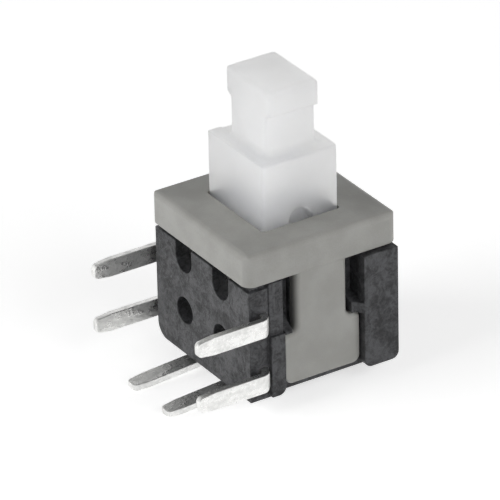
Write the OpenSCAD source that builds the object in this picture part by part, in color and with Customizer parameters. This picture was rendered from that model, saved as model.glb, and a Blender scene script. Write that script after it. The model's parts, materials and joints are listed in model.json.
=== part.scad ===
// Latching push button switch with six right-angle terminals.
// +Z runs along the plunger towards its button end, and the board face looks along -Y.
// The origin lies on the board face, midway between the two middle terminals.

/* [Base] */
// Width of the base over its terminal faces
base_w = 8.4; // [8:0.1:10.2]
// Depth of the base, from the board face to the rear face
base_d = 8.3; // [7.8:0.1:10]
// Height of the base
base_h = 6.3; // [6.2:0.1:7.6]
// Height of the middle terminals above the underside of the base
middle_h = 1.23; // [1.1:0.01:1.5]
// How far the rear wings stand out past the terminal faces
wing_out = 0.4; // [0.3:0.05:0.6]
// Depth of the terminal recess, from the board face to the front rib
recess_d = 1.08; // [1:0.01:1.1]
// Thickness of the front rib
rib_t = 0.8; // [0.6:0.02:0.84]
// How far the lower part of the front rib stands out past the terminal faces
rib_out = 0.26; // [0.2:0.02:0.5]
// How far the lower part of the front rib stands out past its upper part
rib_step = 0.18; // [0.04:0.02:0.18]
// Depth of the rear wing
wing_d = 1.96; // [1.5:0.02:2.4]
// Lift of the ribs and wings above the underside
wing_lift = 0.08; // [0:0.02:0.2]
// Corner radius at the foot of the ribs and wings
wing_r = 0.4; // [0.1:0.05:0.6]
// Radius of the lower left corner of the board face
corner_r = 0.8; // [0.2:0.05:1]
// Width over the side walls behind the cover's tongues
waist_w = 6.6; // [6.4:0.1:7.2]
// Wall between the board face and the cavity
front_wall = 1.15; // [1.1:0.05:1.3]
// Wall between the cavity and the rear face
rear_wall = 0.95; // [0.6:0.05:1.2]
// Thickness of the floor
floor_t = 0.6; // [0.4:0.05:0.65]
// Height of the two catches on each side
catch_h = 0.56; // [0.4:0.02:0.8]
// Height of the ramp above each catch
catch_ramp = 0.28; // [0.1:0.02:0.5]
// Depth of the rebate round the top of the terminal zone
rebate_d = 0.2; // [0.1:0.02:0.3]
// Height of the rebate round the top of the terminal zone
rebate_h = 0.3; // [0.2:0.02:0.4]

/* [Core holes] */
// Radius of the holes behind the contact strips
hole_r = 0.7; // [0.4:0.05:0.75]
// Distance of each hole from the middle of the board face
hole_x = 1.65; // [1.5:0.05:1.7]
// Depth of the upper slots' round ends below the top of the base
slot_drop = 1.03; // [0.8:0.05:1.2]
// Depth of the lower holes below the top of the base
hole_drop = 3.86; // [3.6:0.02:4]

/* [Cover] */
// Side of the square cover
cover_w = 8.65; // [8.5:0.05:10.2]
// Thickness of the cover
cover_t = 1.7; // [1.2:0.01:2]
// Radius of the cover's upright corners
cover_r = 0.55; // [0.2:0.05:0.8]
// Fillet round the cover's top edge
cover_fillet = 0.38; // [0.1:0.02:0.5]
// Thickness of the two snap tongues
tongue_t = 0.6; // [0.5:0.05:0.7]
// Width of each tongue's neck
neck_w = 2.94; // [2.8:0.02:3.2]
// Radius of the outer edges of the necks and the feet's shoulders
neck_r = 0.3; // [0.1:0.02:0.46]
// Radius of the inner corners between each neck and its foot
shoulder_r = 0.25; // [0.1:0.01:0.3]
// Width of each tongue's foot
foot_w = 4.26; // [4:0.02:4.34]
// Corner radius of the feet
foot_r = 0.4; // [0.1:0.05:0.6]
// Depth of the feet's shoulders below the top of the base
shoulder_drop = 3.22; // [2.8:0.02:3.6]
// Lift of the feet's lower edge above the underside of the base
foot_lift = 0.36; // [0.2:0.01:0.4]

/* [Plunger] */
// Width of the plunger's block
block_w = 4.9; // [4.4:0.1:5]
// Depth of the plunger's block
block_d = 4.3; // [4:0.1:4.6]
// Height of the block above the cover
block_h = 3.41; // [3.2:0.01:4.5]
// Radius of the block's edges
block_r = 0.16; // [0.05:0.01:0.2]
// Width of the stub that carries a button cap
stub_w = 3.14; // [2.6:0.02:3.4]
// Depth of the stub
stub_d = 2.8; // [2.4:0.02:3.2]
// Height of the stub and its head above the block
stub_h = 3.56; // [3:0.01:4.5]
// Offset of the stub from the plunger's axis towards the latch pin
stub_shift = 0.12; // [0:0.01:0.15]
// Radius of the stub's upright edges
stub_r = 0.14; // [0.05:0.01:0.2]
// Radius of the cove round the foot of the stub
cove_r = 0.36; // [0.2:0.02:0.5]
// Height of the head
head_h = 1.36; // [0.8:0.02:1.6]
// How far the head's two lips stand out
lip_out = 0.35; // [0.2:0.01:0.5]
// Height of the slope under the left lip
lip_slope = 0.27; // [0.1:0.01:0.4]
// Rounding of the head's top edges
head_r = 0.25; // [0.05:0.01:0.3]
// Width of the ledge at the left foot of the stub
plinth_out = 0.17; // [0.04:0.01:0.3]
// Height of the ledge at the left foot of the stub
plinth_h = 0.55; // [0.2:0.05:0.8]
// Depth of the shallow notch in the block's top beside the ledge
notch_h = 0.12; // [0.05:0.01:0.25]
// Length of the plunger below the top of the base
skirt_h = 3.15; // [3:0.05:3.2]
// Clearance of the plunger in the cover's window
window_gap = 0.08; // [0.05:0.01:0.15]
// Full travel of the plunger
travel = 2.5; // [2:0.1:2.5]
// Travel at which the latch holds the plunger
latch_travel = 1.8; // [1.5:0.1:1.9]

/* [Latch] */
// Diameter of the latch pin's wire
pin_d = 0.4; // [0.3:0.02:0.44]
// Clearance of the latch pin in the cam groove
cam_gap = 0.06; // [0.04:0.01:0.1]
// Depth of the cam groove
cam_depth = 0.6; // [0.4:0.05:0.7]
// Depth of the latch pin's tip below the top of the base
tip_drop = 1.15; // [1.1:0.05:1.3]
// Sideways swing of the latch pin's tip
swing = 1; // [0.9:0.02:1.04]
// Height of the latch pin's pivot above the underside of the base
pivot_h = 1.1; // [1:0.05:1.3]
// Clearance of the latch pin in its pivot hole
pivot_gap = 0.04; // [0.02:0.01:0.08]
// Thickness of the leaf spring behind the latch pin
leaf_t = 0.08; // [0.06:0.01:0.09]

/* [Return spring] */
// Mean radius of the return spring
coil_r = 1.2; // [1.1:0.02:1.22]
// Wire diameter of the return spring
coil_wire = 0.22; // [0.18:0.01:0.24]
// Number of turns of the return spring
coil_turns = 7; // [5:1:8]

/* [Terminals] */
// Thickness of the terminal strip
strip_t = 0.35; // [0.3:0.01:0.35]
// Width of the leads
lead_w = 0.96; // [0.7:0.02:0.98]
// Width of the leads at their tips
tip_w = 0.8; // [0.5:0.02:0.84]
// Corner radius of the leads' tips
tip_r = 0.25; // [0.1:0.01:0.3]
// Length of each lead's taper
taper_l = 0.9; // [0.5:0.05:1.4]
// Length of the leads below the board face
lead_l = 3.3; // [2.5:0.1:5]
// Distance between the two outer columns of leads
column_pitch = 9.4; // [9.2:0.1:11]
// Distance between the upper and the middle leads
upper_pitch = 3; // [2.9:0.05:3.2]
// Distance between the middle and the lower leads at their roots
lower_pitch = 1.63; // [1.6:0.01:1.8]
// Distance between the two lower leads
lower_column_pitch = 3.1; // [3:0.02:3.2]
// Inside radius of the leads' bends
lead_bend = 0.2; // [0.15:0.01:0.2]
// Angle by which the lower leads lean away from the body
lower_lean = 4; // [0:0.5:6]
// Thickness of the sliding contact clips
clip_t = 0.12; // [0.08:0.01:0.15]
// Width of the sliding contact clips
clip_w = 1; // [0.8:0.05:1.1]

/* [Hidden] */

// Clearance between faces that meet when the switch is put together
fit_gap = 0.03;
// Clearance on each side of the plunger in the cavity
cavity_gap = 0.1;
// Space between neighbouring contact strips
strip_gap = 0.2;
// Space between the side leads and the front rib
rib_gap = 0.15;
// Space between the ribs' and wings' tops and the cover
rim_gap = 0.08;
// Overlap of a cutting tool past the surface it cuts
past = 0.5;

// Levels along the plunger axis, counted from the middle terminals
z_base = -middle_h;
z_top = z_base + base_h;
z_cover = z_top + cover_t;
z_block = z_cover + block_h;
z_head = z_block + stub_h;
z_floor = z_base + floor_t;
z_shoulder = z_top - shoulder_drop;
z_catch = z_shoulder + fit_gap;
z_ledge = z_catch + catch_h / 2;
z_tip = z_top - tip_drop;
z_pivot = z_base + pivot_h;
axis_y = base_d / 2;
side_x = base_w / 2;
cavity_w = block_w + 2 * cavity_gap;

// Contact strips lie flush with the cavity's front wall
pad_y1 = front_wall;
pad_y0 = pad_y1 - strip_t;
pad_in = hole_x - hole_r - 0.05;
pad_out = hole_x + hole_r + 0.1;
neck_in = pad_out + strip_gap;
neck_out = neck_in + 0.45;
jog_l = 0.5;
// Corner radius of the side leads where they leave the body
root_r = 0.45;
middle_neck_top = upper_pitch - lead_w / 2 - strip_gap;
upper_pad = [z_top - 1.9, z_top - 0.4];
middle_pad = [z_top - 4.4, z_top - 2.25];
lower_pad_top = z_top - 4.65;

// Contact clips: centre height and half distance between their contact points
clip_z = z_top - 2.15;
clip_x = min(hole_x, cavity_w / 2 - clip_w / 2 - cavity_gap);
clip_half = 0.8;
pocket_half = 1;
pocket_y = axis_y - 2.03;
carrier_y = front_wall + 0.25;
carrier_back_y = base_d - rear_wall - 0.3;
clip_back_y = pocket_y - clip_t / 2 - 0.02;
clip_tip_y = front_wall + clip_t / 2 + fit_gap;

// Latch: the wire swings in a window behind the right tongue
tongue_x = side_x;
sill_x = tongue_x - 0.3;
boss_x = tongue_x - tongue_t - fit_gap;
boss_half = neck_w / 2;
latch_wall = cavity_w / 2 + 0.3;
standoff = 0.05;
pin_r = pin_d / 2;
pin_x = latch_wall + pin_r + standoff;
pin_bend = pin_r + standoff;
leaf_x = boss_x - 0.005;
leaf_bow = leaf_x - leaf_t - pin_x - pin_r - 0.02;
arm = z_tip - z_pivot;
swing_angle = asin(swing / arm);
lane_r = pin_r + cam_gap;
lane_top = z_tip + travel - arm * (1 - cos(swing_angle));
bore_r = coil_r + coil_wire / 2 + 0.14;
bore_top = z_top - 0.6;

// A bar with round upright edges, from corner [x0, y0, z0] to [x1, y1, z1]
module round_bar(a, b, r) {
    translate([a.x + r, a.y, a.z])
        cube([b.x - a.x - 2 * r, b.y - a.y, b.z - a.z]);
    translate([a.x, a.y + r, a.z])
        cube([b.x - a.x, b.y - a.y - 2 * r, b.z - a.z]);
    for (x = [a.x + r, b.x - r], y = [a.y + r, b.y - r])
        translate([x, y, a.z])
            cylinder(r = r, h = b.z - a.z, $fn = 48);
}

// A plain box between two corners
module box(a, b) {
    translate(a)
        cube(b - a);
}

// Extrudes a shape drawn in the X-Z plane from y0 to y1
module along_y(y0, y1) {
    translate([0, y1, 0])
        rotate([90, 0, 0])
            linear_extrude(y1 - y0)
                children();
}

// Extrudes a shape drawn in the Y-Z plane from x0 to x1
module along_x(x0, x1) {
    translate([x0, 0, 0])
        rotate([90, 0, 90])
            linear_extrude(x1 - x0)
                children();
}

// A rectangle whose two lower corners are round
module footed(x0, x1, y0, y1, r) {
    translate([x0, y0 + r])
        square([x1 - x0, y1 - y0 - r]);
    translate([x0 + r, y0])
        square([x1 - x0 - 2 * r, y1 - y0]);
    for (x = [x0 + r, x1 - r])
        translate([x, y0 + r])
            circle(r, $fn = 48);
}

// A rectangle whose two upper corners are round
module headed(x0, x1, y0, y1, r) {
    mirror([0, 1])
        footed(x0, x1, -y1, -y0, r);
}

// Everything on the right side, and its mirror image on the left
module both_sides() {
    children();
    mirror([1, 0, 0])
        children();
}

module base_shell() {
    // Terminal zone behind the board face, with its round lower left corner
    along_y(0, recess_d + past) {
        translate([-side_x, z_base + corner_r])
            square([base_w, base_h - corner_r]);
        translate([corner_r - side_x, z_base])
            square([base_w - corner_r, base_h]);
        translate([corner_r - side_x, z_base + corner_r])
            circle(corner_r, $fn = 64);
    }
    // Body between the ribs and the wings
    box([-sill_x, recess_d, z_base], [sill_x, base_d, z_top]);
    both_sides() {
        // Front rib, whose lower part stands out a little further
        side_bar(recess_d, recess_d + rib_t, rib_out - rib_step, z_top - rim_gap, false);
        side_bar(recess_d, recess_d + rib_t, rib_out, z_ledge, false);
        // Rear wing
        side_bar(base_d - wing_d, base_d, wing_out, z_top - rim_gap, true);
    }
}

// Piece to cut off a lower left corner at the origin, to leave it round
module corner_cut(r) {
    difference() {
        translate([-past, -past])
            square(r + past);
        translate([r, r])
            circle(r, $fn = 64);
    }
}

// Bar that stands out on the right side, round at its rear foot and, if asked, at its front foot
module side_bar(y0, y1, out, z1, front_round) {
    along_x(0, side_x + out)
        difference() {
            translate([y0, z_base + wing_lift])
                square([y1 - y0, z1 - z_base - wing_lift]);
            translate([y1, z_base + wing_lift])
                mirror([1, 0])
                    corner_cut(wing_r);
            if (front_round)
                translate([y0, z_base + wing_lift])
                    corner_cut(wing_r);
        }
}

// Rebate that leaves a shadow line between the terminal zone and the cover
module rebate() {
    z0 = z_top - rebate_h;
    box([-base_w, -past, z0], [base_w, rebate_d, z_top + past]);
    both_sides()
        box([side_x - rebate_d, -past, z0], [base_w, recess_d, z_top + past]);
}

// Space on the right side for the cover's tongue
module tongue_recess() {
    box([waist_w / 2, recess_d + rib_t, z_base + foot_lift - fit_gap],
        [base_w, base_d - wing_d, z_top + past]);
}

// The two catches that hold the right tongue's foot, and the boss behind its neck
module catches() {
    rib_y = recess_d + rib_t;
    wing_y = base_d - wing_d;
    end_gap = neck_w / 2 + shoulder_r - fit_gap;
    rib_slit = 0.14;
    // Each catch: its two ends and the height of its outer face, above which the ramp starts
    front = [rib_y + rib_slit, axis_y - end_gap, catch_h / 4];
    rear = [axis_y + end_gap, wing_y + wing_d / 2, catch_h];
    for (c = [front, rear])
        along_y(c[0], c[1])
            polygon([[waist_w / 2 - 0.1, z_catch], [tongue_x, z_catch],
                [tongue_x, z_catch + c[2]],
                [waist_w / 2, z_catch + catch_h + catch_ramp],
                [waist_w / 2 - 0.1, z_catch + catch_h + catch_ramp]]);
    // Cheek that runs out from the rear catch to the wing
    translate([0, 0, z_catch])
        linear_extrude(catch_h)
            polygon([[tongue_x - 0.1, wing_y - 0.3], [tongue_x, wing_y - 0.3],
                [tongue_x + wing_out, wing_y], [tongue_x - 0.1, wing_y]]);
    box([waist_w / 2 - 0.1, axis_y - boss_half, z_base + foot_lift - fit_gap],
        [boss_x, axis_y + boss_half, z_top]);
}

// Pocket and window for the latch pin in the right side wall
module latch_pocket() {
    side = pin_r + 0.12;
    along_x(latch_wall, boss_x + past)
        polygon([[axis_y - 0.5, z_pivot - 0.35], [axis_y + 0.5, z_pivot - 0.35],
            [axis_y + swing + side, z_tip - 0.4], [axis_y + swing + side, z_tip + side],
            [axis_y - 0.5, z_tip + side]]);
    box([cavity_w / 2 - past, axis_y - side, z_tip - 0.4],
        [latch_wall + past, axis_y + swing + side, z_tip + side]);
    translate([cavity_w / 2 - past, axis_y, z_pivot])
        rotate([0, 90, 0])
            cylinder(r = pin_r + pivot_gap, h = latch_wall - cavity_w / 2 + 2 * past, $fn = 32);
}

module core_holes() {
    for (x = [-hole_x, hole_x]) {
        translate([x, pad_y0, z_top - hole_drop])
            rotate([90, 0, 0])
                cylinder(r = hole_r, h = pad_y0 + past, $fn = 48);
        translate([x, pad_y0, z_top - slot_drop])
            rotate([90, 0, 0])
                cylinder(r = hole_r, h = pad_y0 + past, $fn = 48);
        box([x - hole_r, -past, z_top - slot_drop], [x + hole_r, pad_y0, z_top + past]);
    }
}

module base() {
    color("#2b2c2f")
        difference() {
            union() {
                difference() {
                    base_shell();
                    both_sides()
                        tongue_recess();
                }
                both_sides()
                    catches();
            }
            difference() {
                box([-cavity_w / 2, front_wall, z_floor],
                    [cavity_w / 2, base_d - rear_wall, z_top + past]);
                translate([0, axis_y, z_floor])
                    cylinder(r = coil_r - coil_wire / 2 - 0.12, h = 0.7, $fn = 48);
            }
            rebate();
            latch_pocket();
            core_holes();
            side_terminal(z = upper_pitch, pad = upper_pad, neck_top = upper_pad[1]);
            side_terminal(z = 0, pad = middle_pad, neck_top = middle_neck_top);
            lower_terminal();
            mirror([1, 0, 0]) {
                side_terminal(z = upper_pitch, pad = upper_pad, neck_top = upper_pad[1]);
                side_terminal(z = 0, pad = middle_pad, neck_top = middle_neck_top);
                lower_terminal();
            }
        }
}

// Outline of a tongue: the neck, its foot and the round inner corners between them
module tongue_outline() {
    translate([axis_y - neck_w / 2, z_shoulder])
        square([neck_w, shoulder_drop + cover_t / 2]);
    footed(axis_y - foot_w / 2, axis_y + foot_w / 2, z_base + foot_lift, z_shoulder, foot_r);
    for (s = [0, 1])
        translate([axis_y, z_shoulder])
            mirror([s, 0])
                translate([neck_w / 2, 0])
                    cove(shoulder_r);
}

// Rounds the tongue's outer edge up the neck, round the inner corner and along the shoulder
module tongue_edge() {
    corner_y = -neck_w / 2 - shoulder_r;
    translate([0, -neck_w / 2, shoulder_r])
        linear_extrude(z_cover - z_shoulder)
            mirror([1, 0])
                corner_cut(neck_r);
    translate([0, corner_y, shoulder_r])
        rotate([90, 0, 90])
            mirror([0, 1, 0])
                rotate_extrude(angle = 90, $fn = 64)
                    intersection() {
                        translate([shoulder_r, 0])
                            mirror([0, 1])
                                corner_cut(neck_r);
                        translate([0, -neck_r])
                            square([shoulder_r + neck_r, neck_r + past]);
                    }
    along_y(-foot_w / 2 - past, corner_y)
        rotate(180)
            corner_cut(neck_r);
}

// One snap tongue on the right side, from the cover's plate down to its foot
module tongue() {
    difference() {
        along_x(tongue_x - tongue_t, tongue_x)
            tongue_outline();
        for (s = [0, 1])
            translate([tongue_x, axis_y, z_shoulder])
                mirror([0, s, 0])
                    tongue_edge();
    }
}

module cover() {
    half = cover_w / 2;
    color("#8d8d89")
        difference() {
            union() {
                intersection() {
                    round_bar([-half, axis_y - half, z_top], [half, axis_y + half, z_cover], cover_r);
                    along_x(-half, half)
                        headed(axis_y - half, axis_y + half, z_top, z_cover, cover_fillet);
                    along_y(axis_y - half, axis_y + half)
                        headed(-half, half, z_top, z_cover, cover_fillet);
                }
                both_sides()
                    tongue();
            }
            box([-block_w / 2 - window_gap, axis_y - block_d / 2 - window_gap, z_top - past],
                [block_w / 2 + window_gap, axis_y + block_d / 2 + window_gap, z_cover + past]);
        }
}

// Cross-section of a concave fillet of radius r in the corner at the origin
module cove(r) {
    difference() {
        square(r);
        translate([r, r])
            circle(r, $fn = 64);
    }
}

// Concave fillet round the foot of the stub, open on the left where the ledge stands
module stub_cove() {
    x1 = stub_w / 2 - stub_r;
    y1 = stub_d / 2 - stub_r;
    for (s = [-1, 1])
        mirror([0, (1 - s) / 2, 0]) {
            translate([-x1, y1 + stub_r, 0])
                rotate([90, 0, 90])
                    linear_extrude(2 * x1)
                        cove(cove_r);
            translate([x1, y1, 0])
                rotate_extrude(angle = 90, $fn = 64)
                    translate([stub_r, 0])
                        cove(cove_r);
        }
    translate([x1 + stub_r, y1, 0])
        rotate([90, 0, 0])
            linear_extrude(2 * y1)
                cove(cove_r);
}

// Stub and head, with a lip on each side that a button cap clips over
module stub() {
    lip_z = z_head - head_h;
    lip_edge_z = lip_z + 0.1;
    edge = stub_w / 2 + lip_out;
    half_d = stub_d / 2;
    translate([stub_shift, axis_y, 0]) {
        round_bar([-stub_w / 2, -half_d, z_block - 0.1], [stub_w / 2, half_d, z_head - head_r], stub_r);
        intersection() {
            round_bar([-edge, -half_d, lip_z - past], [edge, half_d, z_head], stub_r);
            along_x(-edge, edge)
                headed(-half_d, half_d, lip_z - past, z_head, head_r);
            along_y(-half_d, half_d) {
                headed(-edge, edge, lip_edge_z, z_head, head_r);
                polygon([[-edge, lip_edge_z], [-stub_w / 2, lip_edge_z - lip_slope], [0, lip_z],
                    [edge - 0.03, lip_z], [edge, lip_z + 0.03], [edge, z_head - head_r],
                    [-edge, z_head - head_r]]);
            }
        }
        translate([0, 0, z_block])
            stub_cove();
        box([-stub_w / 2 - plinth_out, stub_r - half_d, z_block - notch_h - 0.1],
            [-stub_w / 2 + 0.1, half_d - stub_r, z_block + plinth_h]);
    }
}

// Heart-shaped cam groove in the plunger's right face
module cam_groove() {
    lane_angle = atan2(swing, lane_top - z_tip);
    lane_l = sqrt(pow(swing, 2) + pow(lane_top - z_tip, 2));
    latch_z = z_tip + latch_travel;
    arch_r = 0.66;
    arch_rise = 0.43;
    along_x(block_w / 2 - cam_depth, block_w / 2 + past)
        translate([axis_y, 0]) {
            // Down lane and return lane, which part at the heart's point
            for (s = [-1, 1])
                translate([0, z_tip])
                    rotate(-s * lane_angle) {
                        translate([-lane_r, 0])
                            square([2 * lane_r, lane_l]);
                        circle(lane_r, $fn = 48);
                        translate([0, lane_l])
                            circle(lane_r, $fn = 48);
                    }
            // Cross lane over the heart, with the cleft where the pin locks
            translate([-swing, lane_top - lane_r])
                square([2 * swing, 2 * lane_r]);
            translate([0, latch_z])
                circle(lane_r, $fn = 48);
            polygon([[-lane_r, latch_z], [lane_r, latch_z], [0.45, lane_top], [-0.45, lane_top]]);
            // Round upper end, which shows above the cover
            translate([-arch_r, lane_top])
                square([2 * arch_r, arch_rise]);
            translate([0, lane_top + arch_rise])
                circle(arch_r, $fn = 64);
        }
}

module plunger() {
    z_low = z_top - skirt_h;
    color("#e9e9e6")
        difference() {
            union() {
                intersection() {
                    round_bar([-block_w / 2, axis_y - block_d / 2, z_low],
                        [block_w / 2, axis_y + block_d / 2, z_block], block_r);
                    along_y(axis_y - block_d, axis_y + block_d)
                        headed(-block_w / 2, block_w / 2, z_low, z_block, block_r);
                }
                // Shoulders that stop the plunger under the cover
                box([-block_w / 2, carrier_y, z_low],
                    [block_w / 2, carrier_back_y, z_top - fit_gap]);
                stub();
            }
            // Shallow notch in the block's top on the left
            box([-block_w / 2 - past, axis_y - stub_d / 2, z_block - notch_h],
                [stub_shift - stub_w / 2 - plinth_out, axis_y + stub_d / 2, z_block + past]);
            translate([0, axis_y, z_low - past])
                cylinder(r = bore_r, h = bore_top - z_low + past, $fn = 64);
            cam_groove();
            for (x = [-clip_x, clip_x])
                box([x - clip_w / 2 - 0.05, carrier_y - past, clip_z - pocket_half],
                    [x + clip_w / 2 + 0.05, pocket_y, clip_z + pocket_half]);
        }
}

// Helical return spring, with flattened end turns
module return_spring() {
    steps = 24;
    sides = 8;
    wire_r = coil_wire / 2;
    ends = 1;
    turns = coil_turns + 2 * ends;
    z0 = z_floor + wire_r;
    z1 = bore_top - wire_r;
    rise = z1 - z0 - 2 * coil_wire;
    function height(t) = t < ends ? z0 + coil_wire * t / ends
        : t > turns - ends ? z1 - coil_wire * (turns - t) / ends
        : z0 + coil_wire + rise * (t - ends) / coil_turns;
    rings = turns * steps;
    points = [for (i = [0:rings], k = [0:sides - 1])
        let (a = 360 * i / steps, b = 360 * k / sides, r = coil_r + wire_r * cos(b))
            [r * cos(a), axis_y + r * sin(a), height(i / steps) + wire_r * sin(b)]];
    walls = [for (i = [0:rings - 1], k = [0:sides - 1])
        let (n = (k + 1) % sides)
            [i * sides + k, i * sides + n, (i + 1) * sides + n, (i + 1) * sides + k]];
    caps = [[for (k = [sides - 1:-1:0]) k], [for (k = [0:sides - 1]) rings * sides + k]];
    color("#b9bcc0")
        polyhedron(points, concat(walls, caps), convexity = 10);
}

// Bent wire: a pivot leg below, an upright arm, and a tip that rides in the cam groove
module latch_pin() {
    tip_x = block_w / 2 - cam_depth + 0.1;
    root_x = cavity_w / 2 + 0.03;
    color("#c9ccd0")
        translate([0, axis_y, 0]) {
            translate([pin_x, 0, z_pivot + pin_bend])
                cylinder(r = pin_r, h = arm - 2 * pin_bend, $fn = 32);
            for (e = [[z_tip, tip_x, 1], [z_pivot, root_x, -1]]) {
                translate([e[1], 0, e[0]])
                    rotate([0, 90, 0])
                        cylinder(r = pin_r, h = pin_x - pin_bend - e[1], $fn = 32);
                translate([pin_x - pin_bend, 0, e[0] - e[2] * pin_bend])
                    rotate([e[2] * 90, 0, 0])
                        rotate_extrude(angle = 90, $fn = 48)
                            translate([pin_bend, 0])
                                circle(pin_r, $fn = 32);
            }
        }
}

// Bowed leaf that presses the latch pin into the groove
module latch_spring() {
    z0 = z_pivot + 0.2;
    z1 = z_tip - 0.45;
    front_x = leaf_x - leaf_t;
    color("#b87333")
        along_y(axis_y - 0.4, axis_y + 0.4)
            polygon([[leaf_x, z0], [leaf_x - leaf_bow, (z0 + z1) / 2], [leaf_x, z1],
                [front_x, z1], [front_x - leaf_bow, (z0 + z1) / 2], [front_x, z0]]);
}

// Lead that runs along -Y from y = 0, with a tapered, round-cornered tip
module lead(length) {
    r = tip_r;
    translate([-strip_t / 2, 0, 0])
        rotate([90, 0, 90])
            linear_extrude(strip_t) {
                polygon([[0, -lead_w / 2], [0, lead_w / 2], [taper_l - length, lead_w / 2],
                    [r - length, tip_w / 2], [r - length, -tip_w / 2],
                    [taper_l - length, -lead_w / 2]]);
                translate([-length, r - tip_w / 2])
                    square([r + 0.01, tip_w - 2 * r]);
                for (s = [-1, 1])
                    translate([r - length, s * (tip_w / 2 - r)])
                        circle(r, $fn = 32);
            }
}

// Contact strip in the right wall, with a lead that leaves sideways and bends along -Y
module side_terminal(z, pad, neck_top) {
    y1 = recess_d - rib_gap;
    y0 = y1 - strip_t;
    bend_x = column_pitch / 2 - strip_t / 2 - lead_bend;
    z0 = z - lead_w / 2;
    z1 = z + lead_w / 2;
    jog_x = neck_out - 0.15;
    difference() {
        union() {
            intersection() {
                translate([0, 0, z0 - past])
                    linear_extrude(base_h)
                        polygon([[pad_in, pad_y0], [pad_in, pad_y1], [jog_x + 0.1, pad_y1],
                            [jog_x + jog_l + 0.1, y1], [bend_x, y1], [bend_x, y0],
                            [jog_x + jog_l - 0.1, y0], [jog_x - 0.1, pad_y0]]);
                along_y(0, base_d)
                    polygon([[pad_in, pad[1]], [pad_out, pad[1]], [pad_out, neck_top],
                        [neck_out, neck_top], [neck_out, z1], [bend_x, z1], [bend_x, z0],
                        [neck_in, z0], [neck_in, pad[0]], [pad_in, pad[0]]]);
            }
            translate([bend_x, y0 - lead_bend, z])
                rotate_extrude(angle = 90, $fn = 64)
                    translate([lead_bend, -lead_w / 2])
                        square([strip_t, lead_w]);
        }
        // Round lower corner where the lead leaves the body
        along_x(side_x, column_pitch)
            translate([y1, z0])
                mirror([1, 0])
                    corner_cut(root_r);
    }
    translate([column_pitch / 2, y0 - lead_bend, z])
        lead(y0 - lead_bend + lead_l);
}

// Contact strip that leaves through the underside and bends along -Y
module lower_terminal() {
    x = lower_column_pitch / 2;
    bend_z = strip_t / 2 + lead_bend - lower_pitch;
    box([x - lead_w / 2, pad_y0, bend_z], [x + lead_w / 2, pad_y1, lower_pad_top]);
    translate([x, pad_y0 - lead_bend, bend_z]) {
        rotate([-90, 0, 90])
            rotate_extrude(angle = 90 - lower_lean, $fn = 64)
                translate([lead_bend, -lead_w / 2])
                    square([strip_t, lead_w]);
        rotate([lower_lean, 0, 0])
            translate([0, 0, -lead_bend - strip_t / 2])
                rotate([0, 90, 0])
                    lead(pad_y0 - lead_bend + lead_l);
    }
}

module terminal_upper_right() {
    color("#c8cac8")
        side_terminal(z = upper_pitch, pad = upper_pad, neck_top = upper_pad[1]);
}

module terminal_upper_left() {
    mirror([1, 0, 0])
        terminal_upper_right();
}

module terminal_middle_right() {
    color("#c8cac8")
        side_terminal(z = 0, pad = middle_pad, neck_top = middle_neck_top);
}

module terminal_middle_left() {
    mirror([1, 0, 0])
        terminal_middle_right();
}

module terminal_lower_right() {
    color("#c8cac8")
        lower_terminal();
}

module terminal_lower_left() {
    mirror([1, 0, 0])
        terminal_lower_right();
}

// Strip of constant thickness through the given points of the Y-Z plane
module strip(points, x0, x1) {
    along_x(x0, x1)
        for (i = [0:len(points) - 2]) {
            d = points[i + 1] - points[i];
            translate(points[i])
                rotate(atan2(d.y, d.x)) {
                    translate([0, -clip_t / 2])
                        square([norm(d), clip_t]);
                    circle(clip_t / 2, $fn = 24);
                }
            translate(points[i + 1])
                circle(clip_t / 2, $fn = 24);
        }
}

// Bridging clip that slides on two neighbouring contact strips
module contact_clip_right() {
    half = [[clip_tip_y + 0.25, clip_half + 0.12], [clip_tip_y, clip_half], [clip_back_y, 0.35]];
    path = concat([for (p = half) [p.x, clip_z + p.y]],
        [for (i = [2:-1:0]) [half[i].x, clip_z - half[i].y]]);
    color("#c9a05a")
        strip(path, clip_x - clip_w / 2, clip_x + clip_w / 2);
}

module contact_clip_left() {
    mirror([1, 0, 0])
        contact_clip_right();
}

base();
cover();
plunger();
return_spring();
latch_pin();
latch_spring();
terminal_upper_right();
terminal_upper_left();
terminal_middle_right();
terminal_middle_left();
terminal_lower_right();
terminal_lower_left();
contact_clip_right();
contact_clip_left();
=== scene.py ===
"""Looks of the latching push button switch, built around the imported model.

Lengths are in millimetres until they reach a Blender object, which is in metres.
"""
import json
import math

import bmesh
import bpy
from mathutils import Matrix, Vector
from mathutils.bvhtree import BVHTree
from mathutils.geometry import intersect_point_line


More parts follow.
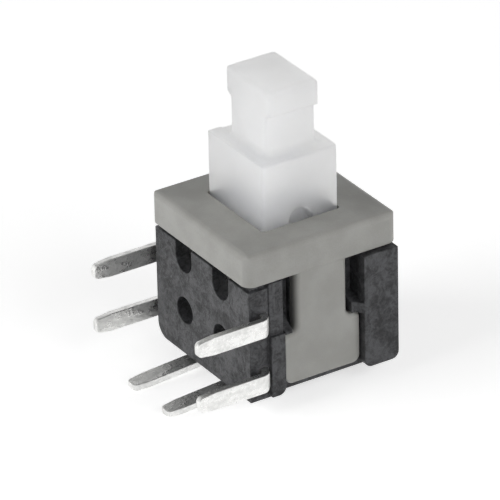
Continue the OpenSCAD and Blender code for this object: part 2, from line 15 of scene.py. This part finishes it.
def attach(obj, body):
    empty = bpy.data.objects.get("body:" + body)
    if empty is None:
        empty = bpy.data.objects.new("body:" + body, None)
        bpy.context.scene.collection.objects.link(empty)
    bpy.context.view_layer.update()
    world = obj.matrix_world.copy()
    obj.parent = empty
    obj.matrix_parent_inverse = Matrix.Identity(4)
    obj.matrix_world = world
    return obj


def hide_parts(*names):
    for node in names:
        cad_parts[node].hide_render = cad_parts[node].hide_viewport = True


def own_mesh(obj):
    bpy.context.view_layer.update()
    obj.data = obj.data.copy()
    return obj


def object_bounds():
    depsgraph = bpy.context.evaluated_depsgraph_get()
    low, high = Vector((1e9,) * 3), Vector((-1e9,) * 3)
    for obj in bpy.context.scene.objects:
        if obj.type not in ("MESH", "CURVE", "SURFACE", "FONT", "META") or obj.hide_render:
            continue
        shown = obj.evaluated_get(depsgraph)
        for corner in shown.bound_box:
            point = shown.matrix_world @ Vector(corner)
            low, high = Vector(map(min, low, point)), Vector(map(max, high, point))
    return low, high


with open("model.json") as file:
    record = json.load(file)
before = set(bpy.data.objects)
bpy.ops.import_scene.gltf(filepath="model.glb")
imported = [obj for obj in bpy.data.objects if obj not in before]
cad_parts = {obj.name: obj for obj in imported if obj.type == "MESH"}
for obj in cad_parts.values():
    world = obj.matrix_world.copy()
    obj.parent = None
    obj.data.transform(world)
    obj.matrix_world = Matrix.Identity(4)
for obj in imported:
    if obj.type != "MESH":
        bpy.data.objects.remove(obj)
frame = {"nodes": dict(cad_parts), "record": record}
cad_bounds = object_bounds()

MM = 0.001
NODES = frame["nodes"]
TERMINALS = [name for name in NODES if name.startswith("terminal")]


# ---------------------------------------------------------------- materials


class Surface:
    """A material whose nodes are laid out in the object's own millimetres."""

    def __init__(self, name):
        self.material = bpy.data.materials.new(name)
        self.material.use_nodes = True
        self.tree = self.material.node_tree
        self.tree.nodes.clear()
        self.shader = self.add("ShaderNodeBsdfPrincipled")
        output = self.add("ShaderNodeOutputMaterial")
        self.link(self.shader.outputs["BSDF"], output.inputs["Surface"])
        place = self.add("ShaderNodeTexCoord")
        self.place = self.add("ShaderNodeMapping").outputs["Vector"]
        self.link(place.outputs["Object"], self.place.node.inputs["Vector"])
        self.place.node.inputs["Scale"].default_value = (1 / MM,) * 3

    def add(self, kind):
        return self.tree.nodes.new(kind)

    def link(self, source, target):
        self.tree.links.new(source, target)

    def set(self, **values):
        """Sets sockets of the shader; an underscore in a name is a space."""
        for name, value in values.items():
            socket = self.shader.inputs[name.replace("_", " ")]
            if isinstance(value, bpy.types.NodeSocket):
                self.link(value, socket)
            else:
                socket.default_value = value

    def stretched(self, x, y, z):
        """Coordinates whose pattern is drawn out along an axis with a small factor."""
        node = self.add("ShaderNodeMapping")
        self.link(self.place, node.inputs["Vector"])
        node.inputs["Scale"].default_value = (x, y, z)
        return node.outputs["Vector"]

    def height(self):
        """Height in the object's frame, in millimetres."""
        node = self.add("ShaderNodeSeparateXYZ")
        self.link(self.place, node.inputs[0])
        return node.outputs["Z"]

    def noise(self, per_mm, detail=3.0, roughness=0.5, place=None, distortion=0.0):
        """Noise with per_mm of its largest features in a millimetre."""
        node = self.add("ShaderNodeTexNoise")
        self.link(place or self.place, node.inputs["Vector"])
        node.inputs["Scale"].default_value = per_mm
        node.inputs["Detail"].default_value = detail
        node.inputs["Roughness"].default_value = roughness
        node.inputs["Distortion"].default_value = distortion
        return node.outputs["Fac"]

    def spread(self, value, low, high, to_low=0.0, to_high=1.0):
        """Maps low..high smoothly to to_low..to_high."""
        node = self.add("ShaderNodeMapRange")
        node.interpolation_type = "SMOOTHSTEP"
        self.link(value, node.inputs["Value"])
        node.inputs["From Min"].default_value = low
        node.inputs["From Max"].default_value = high
        node.inputs["To Min"].default_value = to_low
        node.inputs["To Max"].default_value = to_high
        return node.outputs["Result"]

    def blend(self, factor, low, high):
        """Colour that goes from low to high with factor."""
        node = self.add("ShaderNodeMix")
        node.data_type = "RGBA"
        self.link(factor, node.inputs["Factor"])
        for socket, value in ((node.inputs["A"], low), (node.inputs["B"], high)):
            colour = [s for s in node.inputs if s.name == socket.name and s.type == "RGBA"][0]
            if isinstance(value, bpy.types.NodeSocket):
                self.link(value, colour)
            else:
                colour.default_value = (*value, 1)
        return [s for s in node.outputs if s.type == "RGBA"][0]

    def sum(self, *parts):
        """Weighted sum of (socket, weight) pairs."""
        total = None
        for socket, weight in parts:
            node = self.add("ShaderNodeMath")
            node.operation = "MULTIPLY_ADD"
            self.link(socket, node.inputs[0])
            node.inputs[1].default_value = weight
            if total is None:
                node.inputs[2].default_value = 0
            else:
                self.link(total, node.inputs[2])
            total = node.outputs["Value"]
        return total

    def bump(self, height, depth):
        """Bump whose height of 1 stands depth millimetres out of the surface."""
        node = self.add("ShaderNodeBump")
        self.link(height, node.inputs["Height"])
        node.inputs["Distance"].default_value = depth * MM
        self.link(node.outputs["Normal"], self.shader.inputs["Normal"])


def housing_black():
    s = Surface("housing_black")
    cloud = s.noise(0.7, detail=4, roughness=0.6)
    flow = s.noise(1.9, detail=4, roughness=0.6, distortion=1.5)
    grain = s.noise(9, detail=3, roughness=0.7)
    tone = s.sum((cloud, 0.35), (flow, 0.4), (grain, 0.25))
    s.set(
        Base_Color=s.blend(s.spread(tone, 0.4, 0.6), (0.014, 0.014, 0.015), (0.062, 0.063, 0.067)),
        Roughness=s.spread(tone, 0.38, 0.62, 0.56, 0.36),
        IOR=1.4,
    )
    s.bump(s.sum((grain, 1.0), (cloud, 0.8)), 0.02)
    return s.material


def cover_grey():
    s = Surface("cover_grey")
    cloud = s.noise(0.6, detail=3)
    grain = s.noise(20, detail=2)
    tone = s.sum((cloud, 0.7), (grain, 0.3))
    s.set(
        Base_Color=s.blend(s.spread(tone, 0.35, 0.65), (0.292, 0.291, 0.274), (0.337, 0.335, 0.32)),
        Roughness=s.spread(tone, 0.35, 0.65, 0.48, 0.38),
        IOR=1.43,
        Subsurface_Weight=0.35,
        Subsurface_Radius=(1.0, 0.95, 0.85),
        Subsurface_Scale=0.35 * MM,
    )
    s.bump(s.sum((grain, 0.5), (cloud, 1.0)), 0.008)
    return s.material


# Heights between which the plunger's colour is painted paler upwards: painted shade low down near the
# cover, painted light from light passing through it higher up
PLUNGER_PAINTED_SHADE_BELOW = 7
PLUNGER_PAINTED_LIGHT_ABOVE = 13


def plunger_white():
    s = Surface("plunger_white")
    cloud = s.noise(0.5, detail=3)
    grain = s.noise(18, detail=2)
    tone = s.sum((cloud, 0.75), (grain, 0.25))
    # height ramp in the base colour: painted shade on the lower plunger, painted light on the upper
    rise = s.spread(s.height(), PLUNGER_PAINTED_SHADE_BELOW, PLUNGER_PAINTED_LIGHT_ABOVE)
    light = s.sum((s.spread(tone, 0.35, 0.65), 0.3), (rise, 0.7))
    s.set(
        Base_Color=s.blend(light, (0.85, 0.853, 0.845), (0.94, 0.942, 0.936)),
        Roughness=s.spread(tone, 0.35, 0.65, 0.5, 0.4),
        IOR=1.48,
        Subsurface_Weight=1.0,
        Subsurface_Radius=(1.0, 0.98, 0.93),
        Subsurface_Scale=30 * MM,
    )
    s.bump(s.sum((grain, 0.4), (cloud, 1.0)), 0.008)
    return s.material


def terminal_silver():
    s = Surface("terminal_silver")
    drawn = s.noise(3.0, detail=4, place=s.stretched(1, 0.35, 1), distortion=0.3)
    spots = s.noise(5, detail=3, roughness=0.6)
    grain = s.noise(30, detail=2)
    tone = s.sum((drawn, 0.45), (spots, 0.4), (grain, 0.15))
    s.set(
        Base_Color=s.blend(s.spread(tone, 0.35, 0.6), (0.7, 0.7, 0.685), (0.87, 0.87, 0.855)),
        Metallic=1.0,
        Roughness=s.spread(tone, 0.35, 0.65, 0.45, 0.2),
    )
    s.bump(s.sum((drawn, 1.0), (spots, 0.8), (grain, 0.2)), 0.03)
    return s.material


def spring_metal(name, dark, light):
    s = Surface(name)
    drawn = s.noise(6, detail=3, distortion=0.4)
    s.set(
        Base_Color=s.blend(s.spread(drawn, 0.35, 0.65), dark, light),
        Metallic=1.0,
        Roughness=s.spread(drawn, 0.3, 0.7, 0.35, 0.22),
    )
    s.bump(drawn, 0.006)
    return s.material


MATERIALS = {
    "housing_black": housing_black(),
    "cover_grey": cover_grey(),
    "plunger_white": plunger_white(),
    "terminal_silver": terminal_silver(),
    "spring_steel": spring_metal("spring_steel", (0.38, 0.39, 0.4), (0.62, 0.63, 0.64)),
    "spring_copper": spring_metal("spring_copper", (0.48, 0.27, 0.13), (0.78, 0.5, 0.28)),
}
SLOT_OF = {row["node"]: row["material_slot"] for row in frame["record"]["subparts"]}


# ------------------------------------------------------------------- pieces


def body_of(node):
    for body, members in frame["record"]["behaviour"]["bodies"].items():
        if node in members:
            return body
    raise KeyError(node)


def finish_piece(piece, node):
    """Gives a piece the node's material and body, and hides the node's CAD part."""
    piece.data.materials.clear()
    piece.data.materials.append(MATERIALS[SLOT_OF[node]])
    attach(piece, body_of(node))
    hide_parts(node)
    return piece


def add_object(name, mesh):
    piece = bpy.data.objects.new(name, mesh)
    bpy.context.scene.collection.objects.link(piece)
    return piece


def solid_of(node):
    """The node's solid in millimetres, with the seams of its flat faces dissolved.

    The corners of the cover's window are rounded here, to follow the plunger's block.
    """
    bm = bmesh.new()
    bm.from_mesh(NODES[node].data)
    bmesh.ops.scale(bm, vec=(1 / MM,) * 3, verts=bm.verts)
    bmesh.ops.remove_doubles(bm, verts=bm.verts, dist=WELD)
    bmesh.ops.dissolve_limit(
        bm, angle_limit=math.radians(SEAM_ANGLE), verts=bm.verts, edges=bm.edges
    )
    if node == "cover":
        corners = [e for e in bm.edges if in_window(e) and is_upright(e)]
        bmesh.ops.bevel(
            bm,
            geom=corners,
            offset=WINDOW_CORNER,
            offset_type="OFFSET",
            segments=WINDOW_SEGMENTS,
            profile=ROUND,
            affect="EDGES",
        )
        bm.normal_update()
    return bm


def is_upright(edge):
    along = edge.verts[0].co - edge.verts[1].co
    return abs(along.z) > UPRIGHT * along.length


def in_window(edge):
    """Whether an edge lies on the wall of the cover's window."""
    return all(
        max(abs(v.co.x), abs(v.co.y - AXIS_Y)) < WINDOW_HALF and v.co.z > COVER_BOTTOM
        for v in edge.verts
    )


def sharp_edges(node, bm, crease):
    """Edges to break: all the sharp ones but those of the cover's tight window."""
    sharp = [e for e in bm.edges if e.is_manifold and e.calc_face_angle() > math.radians(crease)]
    return [e for e in sharp if not (node == "cover" and in_window(e))]


def distance_to(point, ends):
    """Distance from a point to the straight edge between two ends."""
    near, share = intersect_point_line(point, *ends)
    return (ends[0].lerp(ends[1], min(max(share, 0), 1)) - point).length


def bevelled(node, radius, segments, crease):
    """The node's solid with its sharp edges broken, apart from those too tight for it.

    A corner that the bevel throws out of the solid shows an edge that is too tight. Such
    edges are left sharp, and the bevel is made again without them.
    """
    bm = solid_of(node)
    skin = BVHTree.FromBMesh(bm)
    ends = [tuple(v.co.copy() for v in e.verts) for e in sharp_edges(node, bm, crease)]
    bm.free()
    kept_sharp = set()
    while True:
        bm = solid_of(node)
        chosen = [e for i, e in enumerate(sharp_edges(node, bm, crease)) if i not in kept_sharp]
        bmesh.ops.bevel(
            bm,
            geom=chosen,
            offset=radius,
            offset_type="OFFSET",
            segments=segments,
            profile=ROUND,
            affect="EDGES",
            clamp_overlap=False,
        )
        stray = [v for v in bm.verts if skin.find_nearest(v.co)[3] > STRAY * radius]
        if not stray:
            return bm
        roots = []
        for vertex in stray:
            around = [e.other_vert(vertex) for e in vertex.link_edges]
            roots += [v.co for v in around if v not in stray] or [vertex.co]
        left = [i for i in range(len(ends)) if i not in kept_sharp]
        kept_sharp |= {min(left, key=lambda i: distance_to(root, ends[i])) for root in roots}
        bm.free()


def rounded(node, radius, segments=3, crease=25):
    """The node's own solid with every sharp edge broken by a small radius."""
    bm = bevelled(node, radius, segments, crease)
    bm.normal_update()
    for edge in bm.edges:
        edge.smooth = edge.is_manifold and edge.calc_face_angle() < math.radians(SHARP_ANGLE)
    return smooth_piece(bm, node)


def softened(node, grid, passes):
    """The node's own solid rebuilt on a fine grid and smoothed, so that every edge is soft."""
    bm = solid_of(node)
    rough = bpy.data.meshes.new(node)
    bm.to_mesh(rough)
    bm.free()
    block = add_object(node + "_rough", rough)
    remesh = block.modifiers.new("remesh", "REMESH")
    remesh.mode = "VOXEL"
    remesh.voxel_size = grid
    smooth = block.modifiers.new("smooth", "SMOOTH")
    smooth.factor = SMOOTHING
    smooth.iterations = passes
    flat = block.modifiers.new("flat", "DECIMATE")
    flat.decimate_type = "DISSOLVE"
    flat.angle_limit = math.radians(FLAT_ANGLE)
    graph = bpy.context.evaluated_depsgraph_get()
    bm = bmesh.new()
    bm.from_mesh(block.evaluated_get(graph).to_mesh())
    bpy.data.objects.remove(block)
    return smooth_piece(bm, node)


def smooth_piece(bm, node):
    """Turns a solid in millimetres into the node's smooth-shaded piece."""
    bmesh.ops.scale(bm, vec=(MM,) * 3, verts=bm.verts)
    mesh = bpy.data.meshes.new(node + "_finished")
    bm.to_mesh(mesh)
    bm.free()
    for face in mesh.polygons:
        face.use_smooth = True
    piece = add_object(node + "_finished", mesh)
    normals = piece.modifiers.new("normals", "WEIGHTED_NORMAL")
    normals.keep_sharp = True
    normals.weight = LARGE_FACES_FIRST
    return finish_piece(piece, node)


def shortened(soft):
    """A deforming node as a piece of its own, with the node's material and body, in place of its CAD
    part.
    """
    node = soft["node"]
    piece = finish_piece(add_object(node + "_finished", NODES[node].data.copy()), node)
    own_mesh(piece)
    return node


AXIS_Y = 4.15
# Reach of the cover's window and level above which it lies
WINDOW_HALF = 2.6
COVER_BOTTOM = 5
WINDOW_CORNER = 0.19
WINDOW_SEGMENTS = 6
# Distance at which corners of the CAD mesh are one, and the angle of a seam in a flat face
WELD = 0.001
SEAM_ANGLE = 0.5
# Share of an edge's length that its rise has, for an upright edge
UPRIGHT = 0.99
# Profile of a bevel that is a circular arc
ROUND = 0.5
# Weight that keeps a flat face flat in the shading, beside its narrow bevels
LARGE_FACES_FIRST = 80
# Edges that are sharper than this after the bevel are shaded as sharp
SHARP_ANGLE = 38
# How far a bevelled corner may lie from the solid, as a share of the radius
STRAY = 0.6
EDGE_RADIUS = {"base": 0.04, "cover": 0.06}
TERMINAL_EDGE = 0.05
# Grid of the plunger's rebuilt surface, and how much it is smoothed
PLUNGER_GRID = 0.055
PLUNGER_PASSES = 5
SMOOTHING = 0.5
# Faces that differ less than this, in degrees, become one
FLAT_ANGLE = 1.5

for node, radius in EDGE_RADIUS.items():
    rounded(node, radius)
softened("plunger", PLUNGER_GRID, PLUNGER_PASSES)
for node in TERMINALS:
    rounded(node, TERMINAL_EDGE)
shortening = [
    shortened(soft)
    for joint in frame["record"]["behaviour"]["joints"]
    for soft in joint.get("deforming_nodes", [])
]
finished = {*EDGE_RADIUS, *TERMINALS, "plunger", *shortening}
for node in NODES:
    if node not in finished:
        NODES[node].data.materials.clear()
        NODES[node].data.materials.append(MATERIALS[SLOT_OF[node]])


# ------------------------------------------------------ floor, light, camera

FLOOR_SIZE = 3000
FLOOR_COLOUR = (0.8, 0.8, 0.8)
# Strength that the floor has of itself for what looks at it, beside the light that falls on it
FLOOR_GLOW = 0.56
BACKGROUND = (1.0, 1.0, 1.0)
# Sines of the elevations between which the wall darkens to the ceiling
WALL_TOP = 0.35
CEILING_START = 0.9


def seen_directly(tree):
    """1 for camera, glossy and transmission rays, 0 for the rays that light the object."""
    path = tree.nodes.new("ShaderNodeLightPath")
    total = path.outputs["Is Camera Ray"]
    for name in ("Is Glossy Ray", "Is Transmission Ray"):
        node = tree.nodes.new("ShaderNodeMath")
        node.operation = "ADD"
        node.use_clamp = True
        tree.links.new(total, node.inputs[0])
        tree.links.new(path.outputs[name], node.inputs[1])
        total = node.outputs["Value"]
    return total


def make_floor(level):
    """Pale floor at the height of the lowest lead, which keeps a soft shadow."""
    half = FLOOR_SIZE / 2 * MM
    mesh = bpy.data.meshes.new("floor")
    corners = [(-half, -half, level), (half, -half, level), (half, half, level), (-half, half, level)]
    mesh.from_pydata(corners, [], [(0, 1, 2, 3)])
    floor = add_object("floor", mesh)
    material = bpy.data.materials.new("floor")
    material.use_nodes = True
    tree = material.node_tree
    tree.nodes.clear()
    diffuse = tree.nodes.new("ShaderNodeBsdfDiffuse")
    diffuse.inputs["Color"].default_value = (*FLOOR_COLOUR, 1)
    glow = tree.nodes.new("ShaderNodeEmission")
    glow.inputs["Color"].default_value = (*BACKGROUND, 1)
    strength = tree.nodes.new("ShaderNodeMath")
    strength.operation = "MULTIPLY"
    strength.inputs[1].default_value = FLOOR_GLOW
    tree.links.new(seen_directly(tree), strength.inputs[0])
    tree.links.new(strength.outputs["Value"], glow.inputs["Strength"])
    both = tree.nodes.new("ShaderNodeAddShader")
    tree.links.new(diffuse.outputs["BSDF"], both.inputs[0])
    tree.links.new(glow.outputs["Emission"], both.inputs[1])
    output = tree.nodes.new("ShaderNodeOutputMaterial")
    tree.links.new(both.outputs["Shader"], output.inputs["Surface"])
    mesh.materials.append(material)


def make_world(ambient, ceiling):
    """Dim even light, and for what looks at it the white wall that darkens to the ceiling."""
    world = bpy.data.worlds.new("studio")
    bpy.context.scene.world = world
    world.use_nodes = True
    tree = world.node_tree
    tree.nodes.clear()
    light = tree.nodes.new("ShaderNodeBackground")
    light.inputs["Strength"].default_value = ambient
    seen = tree.nodes.new("ShaderNodeBackground")
    seen.inputs["Color"].default_value = (*BACKGROUND, 1)
    upwards = tree.nodes.new("ShaderNodeSeparateXYZ")
    tree.links.new(tree.nodes.new("ShaderNodeTexCoord").outputs["Generated"], upwards.inputs[0])
    fade = tree.nodes.new("ShaderNodeMapRange")
    fade.interpolation_type = "SMOOTHSTEP"
    tree.links.new(upwards.outputs["Z"], fade.inputs["Value"])
    fade.inputs["From Min"].default_value = WALL_TOP
    fade.inputs["From Max"].default_value = CEILING_START
    fade.inputs["To Min"].default_value = 1
    fade.inputs["To Max"].default_value = ceiling
    tree.links.new(fade.outputs["Result"], seen.inputs["Strength"])
    mix = tree.nodes.new("ShaderNodeMixShader")
    tree.links.new(seen_directly(tree), mix.inputs["Fac"])
    tree.links.new(light.outputs["Background"], mix.inputs[1])
    tree.links.new(seen.outputs["Background"], mix.inputs[2])
    output = tree.nodes.new("ShaderNodeOutputWorld")
    tree.links.new(mix.outputs["Shader"], output.inputs["Surface"])


def direction(azimuth, elevation):
    """Unit vector from the object towards a place at azimuth and elevation, in degrees."""
    a, e = math.radians(azimuth), math.radians(elevation)
    return Vector((math.sin(a) * math.cos(e), -math.cos(a) * math.cos(e), math.sin(e)))


def make_lamp(name, azimuth, elevation, size, power, target):
    """Square lamp that faces the target and doesn't show in reflections."""
    light = bpy.data.lights.new(name, "AREA")
    light.shape = "SQUARE"
    light.size = size * MM
    light.energy = power
    lamp = bpy.data.objects.new(name, light)
    bpy.context.scene.collection.objects.link(lamp)
    towards = direction(azimuth, elevation)
    lamp.location = (target + towards * LAMP_DISTANCE) * MM
    lamp.visible_glossy = False
    lamp.rotation_euler = (-towards).to_track_quat("-Z", "Y").to_euler()


def make_camera(azimuth, elevation, roll, distance, lens, aim):
    """Camera at a distance from its aim, turned about its own line of sight by roll."""
    camera = bpy.data.objects.new("camera", bpy.data.cameras.new("camera"))
    bpy.context.scene.collection.objects.link(camera)
    camera.data.lens = lens
    camera.data.clip_start = distance * 0.1 * MM
    camera.data.clip_end = 10 * FLOOR_SIZE * MM
    towards = direction(azimuth, elevation)
    turn = (-towards).to_track_quat("-Z", "Y").to_matrix() @ Matrix.Rotation(math.radians(roll), 3, "Z")
    camera.matrix_world = Matrix.Translation((aim + towards * distance) * MM) @ turn.to_4x4()
    bpy.context.scene.camera = camera


CENTRE = Vector((0, 4, 5))
LAMP_DISTANCE = 160
make_floor(cad_bounds[0].z)
make_world(ambient=0.1, ceiling=0.25)
make_lamp("left_softbox", azimuth=-15, elevation=18, size=150, power=0.275, target=CENTRE)
make_lamp("right_softbox", azimuth=108, elevation=20, size=150, power=0.215, target=CENTRE)
make_lamp("back_softbox", azimuth=218, elevation=4, size=40, power=0.085, target=CENTRE)
make_camera(
    azimuth=57.9,
    elevation=28.55,
    roll=-1.3,
    distance=280,
    lens=417.3,
    aim=Vector((-0.25, 2.93, 4.27)),
)

scene = bpy.context.scene
scene.view_settings.view_transform = "Standard"
